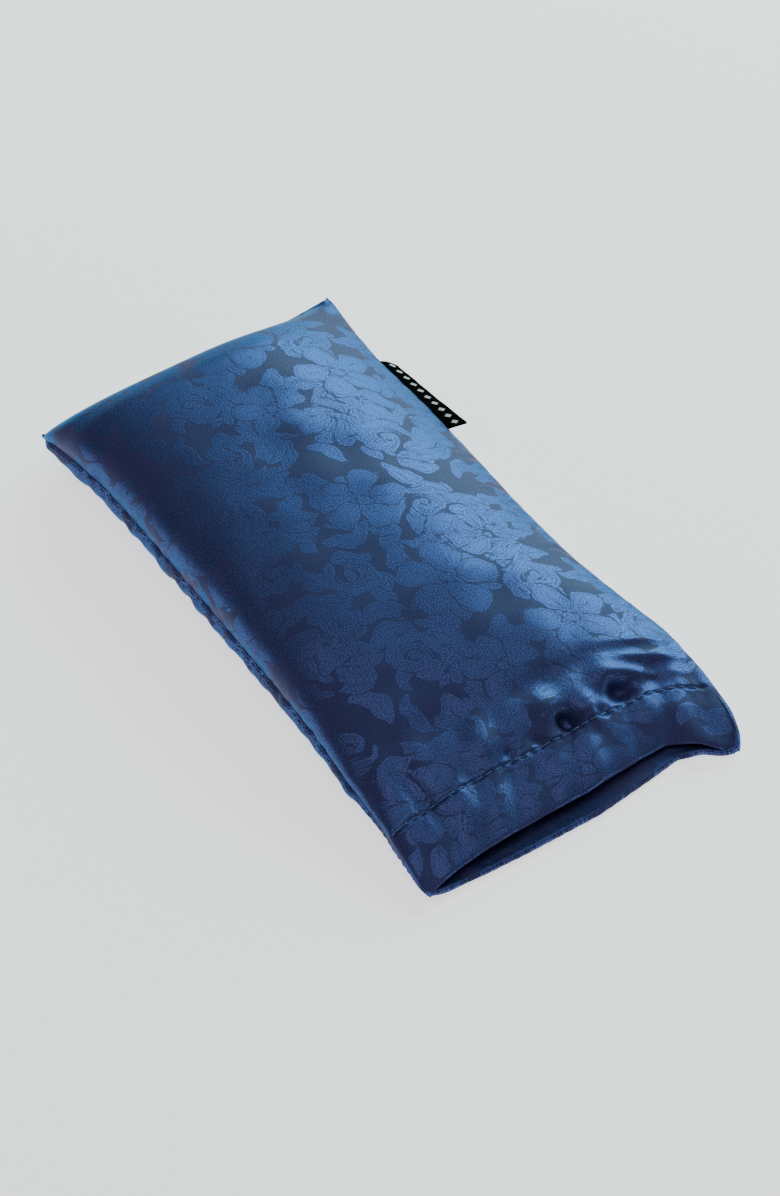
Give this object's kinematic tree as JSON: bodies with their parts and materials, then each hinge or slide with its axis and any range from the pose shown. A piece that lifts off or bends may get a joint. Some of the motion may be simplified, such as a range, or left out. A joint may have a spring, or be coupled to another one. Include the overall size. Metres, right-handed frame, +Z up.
{
  "type": "eye pillow",
  "caption": "Long low eye pillow: a seed-filled inner pouch in a dark blue damask satin slip cover that is open and hemmed at one end, with a folded side label.",
  "frame": {"origin": "centre of the flat rest face, on the surface the pillow lies on", "axes": "+X along the pillow to the open mouth, +Y to the long side with the label, +Z up"},
  "size_m": [0.222, 0.1131, 0.0312],
  "materials": {
    "blue_damask_satin": "satin woven damask",
    "navy_thread": "satin",
    "black_woven_ribbon": "woven",
    "natural_cotton": "plain weave",
    "cream_thread": "matte",
    "flax_seed": "glossy seeds"
  },
  "bodies": {
    "cover": {"cover_top_panel": "blue_damask_satin", "cover_bottom_panel": "blue_damask_satin", "cover_near_seam_allowance": "blue_damask_satin", "cover_far_seam_allowance": "blue_damask_satin", "cover_end_seam_allowance": "blue_damask_satin", "cover_near_seam_thread": "navy_thread", "cover_far_seam_thread": "navy_thread", "cover_end_seam_thread": "navy_thread", "hem_stitches_top": "navy_thread", "hem_stitches_bottom": "navy_thread", "side_label": "black_woven_ribbon"},
    "insert": {"pouch_top_panel": "natural_cotton", "pouch_bottom_panel": "natural_cotton", "pouch_near_seam_allowance": "natural_cotton", "pouch_far_seam_allowance": "natural_cotton", "pouch_end_seam_allowance": "natural_cotton", "pouch_near_seam_thread": "cream_thread", "pouch_far_seam_thread": "cream_thread", "pouch_end_seam_thread": "cream_thread", "pouch_closing_stitch": "cream_thread", "seed_filling": "flax_seed"}
  },
  "joints": [
    {"name": "insert_slide", "type": "slide", "parent": "cover", "child": "insert", "axis": [1, 0, 0], "range_m": [0, 0.24], "deforming": ["cover_top_panel", "hem_stitches_top"]}
  ]
}
